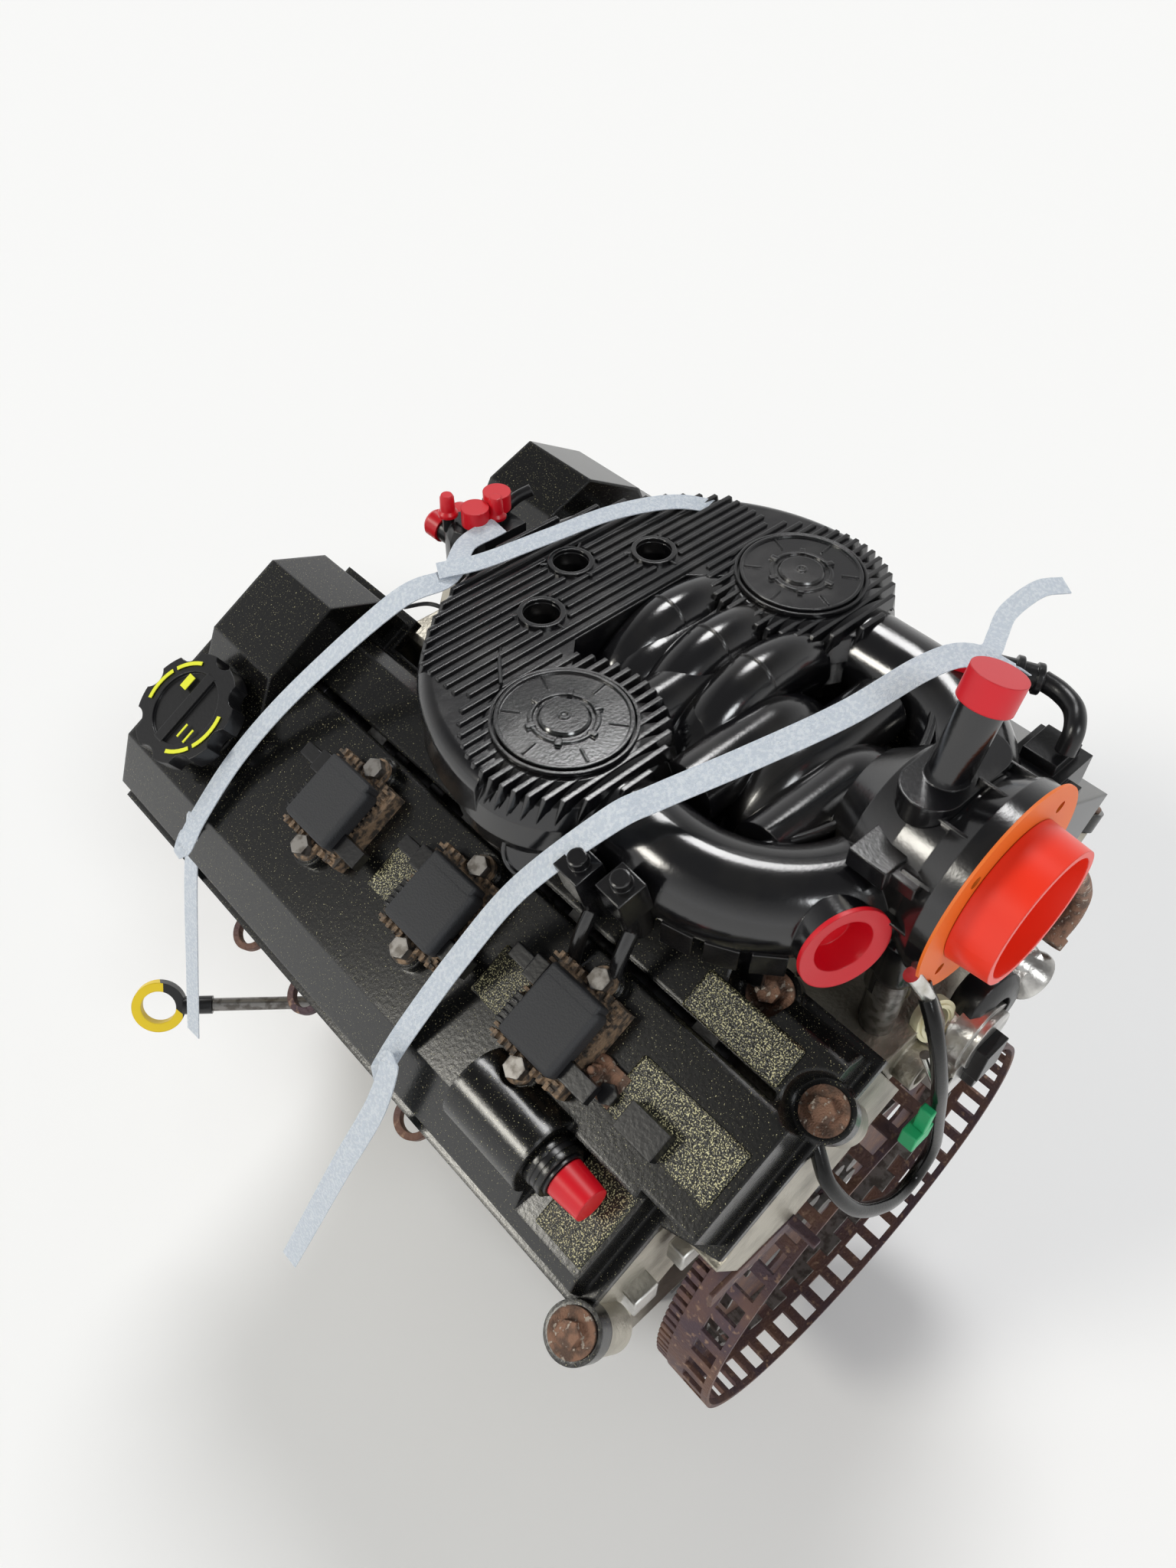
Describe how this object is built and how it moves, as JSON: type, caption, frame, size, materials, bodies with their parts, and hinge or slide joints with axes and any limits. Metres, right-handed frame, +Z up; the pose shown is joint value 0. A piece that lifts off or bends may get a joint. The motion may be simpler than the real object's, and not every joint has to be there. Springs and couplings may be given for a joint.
{
  "type": "v6 engine",
  "caption": "Sixty-degree vee engine with four overhead camshafts, twin-dome plastic intake, black valve covers, coil-on-plug ignition, damper pulley and a windowed drum flexplate.",
  "frame": {"origin": "centre of the flexplate's converter bolt circle, on the crankshaft axis, at the disc's rear face", "axes": "+X across the engine towards the left bank, +Y along the crankshaft from the timing case towards the flexplate, +Z up"},
  "size_m": [0.5824, 0.582, 0.6927],
  "materials": {
    "cast_aluminium": "cast",
    "machined_aluminium": "satin",
    "forged_steel": "satin",
    "rusty_steel": "rough",
    "zinc_steel": "satin",
    "black_paint": "gloss",
    "black_plastic": "satin",
    "grey_plastic": "matte",
    "red_plastic": "satin",
    "orange_plastic": "satin",
    "rubber": "matte",
    "orange_rubber": "matte",
    "gasket": "matte"
  },
  "bodies": {
    "engine": {"bedplate": "cast_aluminium", "cam_caps": "machined_aluminium", "coil_caps": "grey_plastic", "coil_cores": "rusty_steel", "connecting_rods": "forged_steel", "coolant_crossover": "cast_aluminium", "coolant_outlet": "cast_aluminium", "cover_bolts": "rusty_steel", "crank_seals": "rubber", "cylinder_head_left": "cast_aluminium", "cylinder_head_right": "cast_aluminium", "dipstick_tube": "zinc_steel", "drain_plug": "zinc_steel", "egr_valve": "machined_aluminium", "engine_block": "cast_aluminium", "exhaust_brackets": "rusty_steel", "gaskets": "gasket", "ignition_coils": "black_plastic", "intake_fastenings": "zinc_steel", "lower_manifold": "cast_aluminium", "main_bearings": "forged_steel", "oil_pan": "cast_aluminium", "outlet_caps": "red_plastic", "pcv_valve": "black_plastic", "piston_pins": "forged_steel", "pistons": "machined_aluminium", "spark_plugs": "zinc_steel", "suppressor": "machined_aluminium", "tappets": "machined_aluminium", "throttle_gasket": "orange_rubber", "timing_chains": "forged_steel", "timing_cover": "cast_aluminium", "upper_intake": "black_plastic", "vacuum_pipe": "black_plastic", "valve_cover_left": "black_paint", "valve_cover_right": "black_paint", "valve_springs": "forged_steel", "valves": "forged_steel", "water_pump_housing": "cast_aluminium"},
    "crank": {"crankshaft": "forged_steel", "crank_sprocket": "forged_steel", "damper_pulley": "rusty_steel", "crank_bolts": "zinc_steel", "flexplate": "rusty_steel", "ring_gear": "rusty_steel", "tone_ring": "zinc_steel"},
    "intake_cam_left": {"camshaft_intake_left": "forged_steel"},
    "exhaust_cam_left": {"camshaft_exhaust_left": "forged_steel"},
    "intake_cam_right": {"camshaft_intake_right": "forged_steel"},
    "exhaust_cam_right": {"camshaft_exhaust_right": "forged_steel"},
    "water_pump": {"water_pump_rotor": "forged_steel"},
    "filler_seal": {"oil_cap_seal": "rubber"},
    "filler_cap": {"oil_cap": "black_plastic"},
    "dipstick_blade": {"dipstick": "black_plastic"},
    "throttle_cover": {"throttle_plug": "orange_plastic"},
    "port_cover": {"port_plug": "red_plastic"},
    "pipe_cap": {"vacuum_cap": "red_plastic"},
    "breather_cap": {"pcv_cap": "red_plastic"}
  },
  "joints": [
    {"name": "crank_spin", "type": "hinge", "parent": "engine", "child": "crank", "pos_m": [0, 0, 0], "axis": [0, 1, 0], "continuous": true, "deforming": ["connecting_rods", "tappets", "valve_springs", "valves"]},
    {"name": "intake_cam_left_spin", "type": "hinge", "parent": "engine", "child": "intake_cam_left", "pos_m": [0.11436, 0, 0.27808], "axis": [0, 1, 0], "continuous": true},
    {"name": "exhaust_cam_left_spin", "type": "hinge", "parent": "engine", "child": "exhaust_cam_left", "pos_m": [0.18364, 0, 0.23808], "axis": [0, 1, 0], "continuous": true},
    {"name": "intake_cam_right_spin", "type": "hinge", "parent": "engine", "child": "intake_cam_right", "pos_m": [-0.11436, 0, 0.27808], "axis": [0, 1, 0], "continuous": true},
    {"name": "exhaust_cam_right_spin", "type": "hinge", "parent": "engine", "child": "exhaust_cam_right", "pos_m": [-0.18364, 0, 0.23808], "axis": [0, 1, 0], "continuous": true},
    {"name": "water_pump_spin", "type": "hinge", "parent": "engine", "child": "water_pump", "pos_m": [0, 0, 0.19], "axis": [0, 1, 0], "continuous": true},
    {"name": "filler_lift", "type": "slide", "parent": "engine", "child": "filler_seal", "axis": [0.5, 0, 0.866], "range_m": [0, 0.06]},
    {"name": "filler_cap_turn", "type": "hinge", "parent": "filler_seal", "child": "filler_cap", "pos_m": [0.19962, -0.421, 0.30275], "axis": [0.5, 0, 0.866], "range_deg": [0, 90]},
    {"name": "dipstick_pull", "type": "slide", "parent": "engine", "child": "dipstick_blade", "axis": [0.7987, -0.594, 0.0958], "range_m": [0, 0.2]},
    {"name": "throttle_cover_pull", "type": "slide", "parent": "engine", "child": "throttle_cover", "axis": [0, 1, 0], "range_m": [0, 0.05]},
    {"name": "port_cover_pull", "type": "slide", "parent": "engine", "child": "port_cover", "axis": [0.3575, 0.9235, 0.1392], "range_m": [0, 0.03]},
    {"name": "pipe_cap_pull", "type": "slide", "parent": "engine", "child": "pipe_cap", "axis": [-0.309, 0, 0.9511], "range_m": [0, 0.04]},
    {"name": "breather_cap_pull", "type": "slide", "parent": "engine", "child": "breather_cap", "axis": [0, 1, 0], "range_m": [0, 0.03]}
  ],
  "couplings": [
    {"joint": "intake_cam_left_spin", "follows": "crank_spin", "ratio": 0.5},
    {"joint": "exhaust_cam_left_spin", "follows": "crank_spin", "ratio": 0.5},
    {"joint": "intake_cam_right_spin", "follows": "crank_spin", "ratio": 0.5},
    {"joint": "exhaust_cam_right_spin", "follows": "crank_spin", "ratio": 0.5},
    {"joint": "water_pump_spin", "follows": "crank_spin", "ratio": -1}
  ]
}
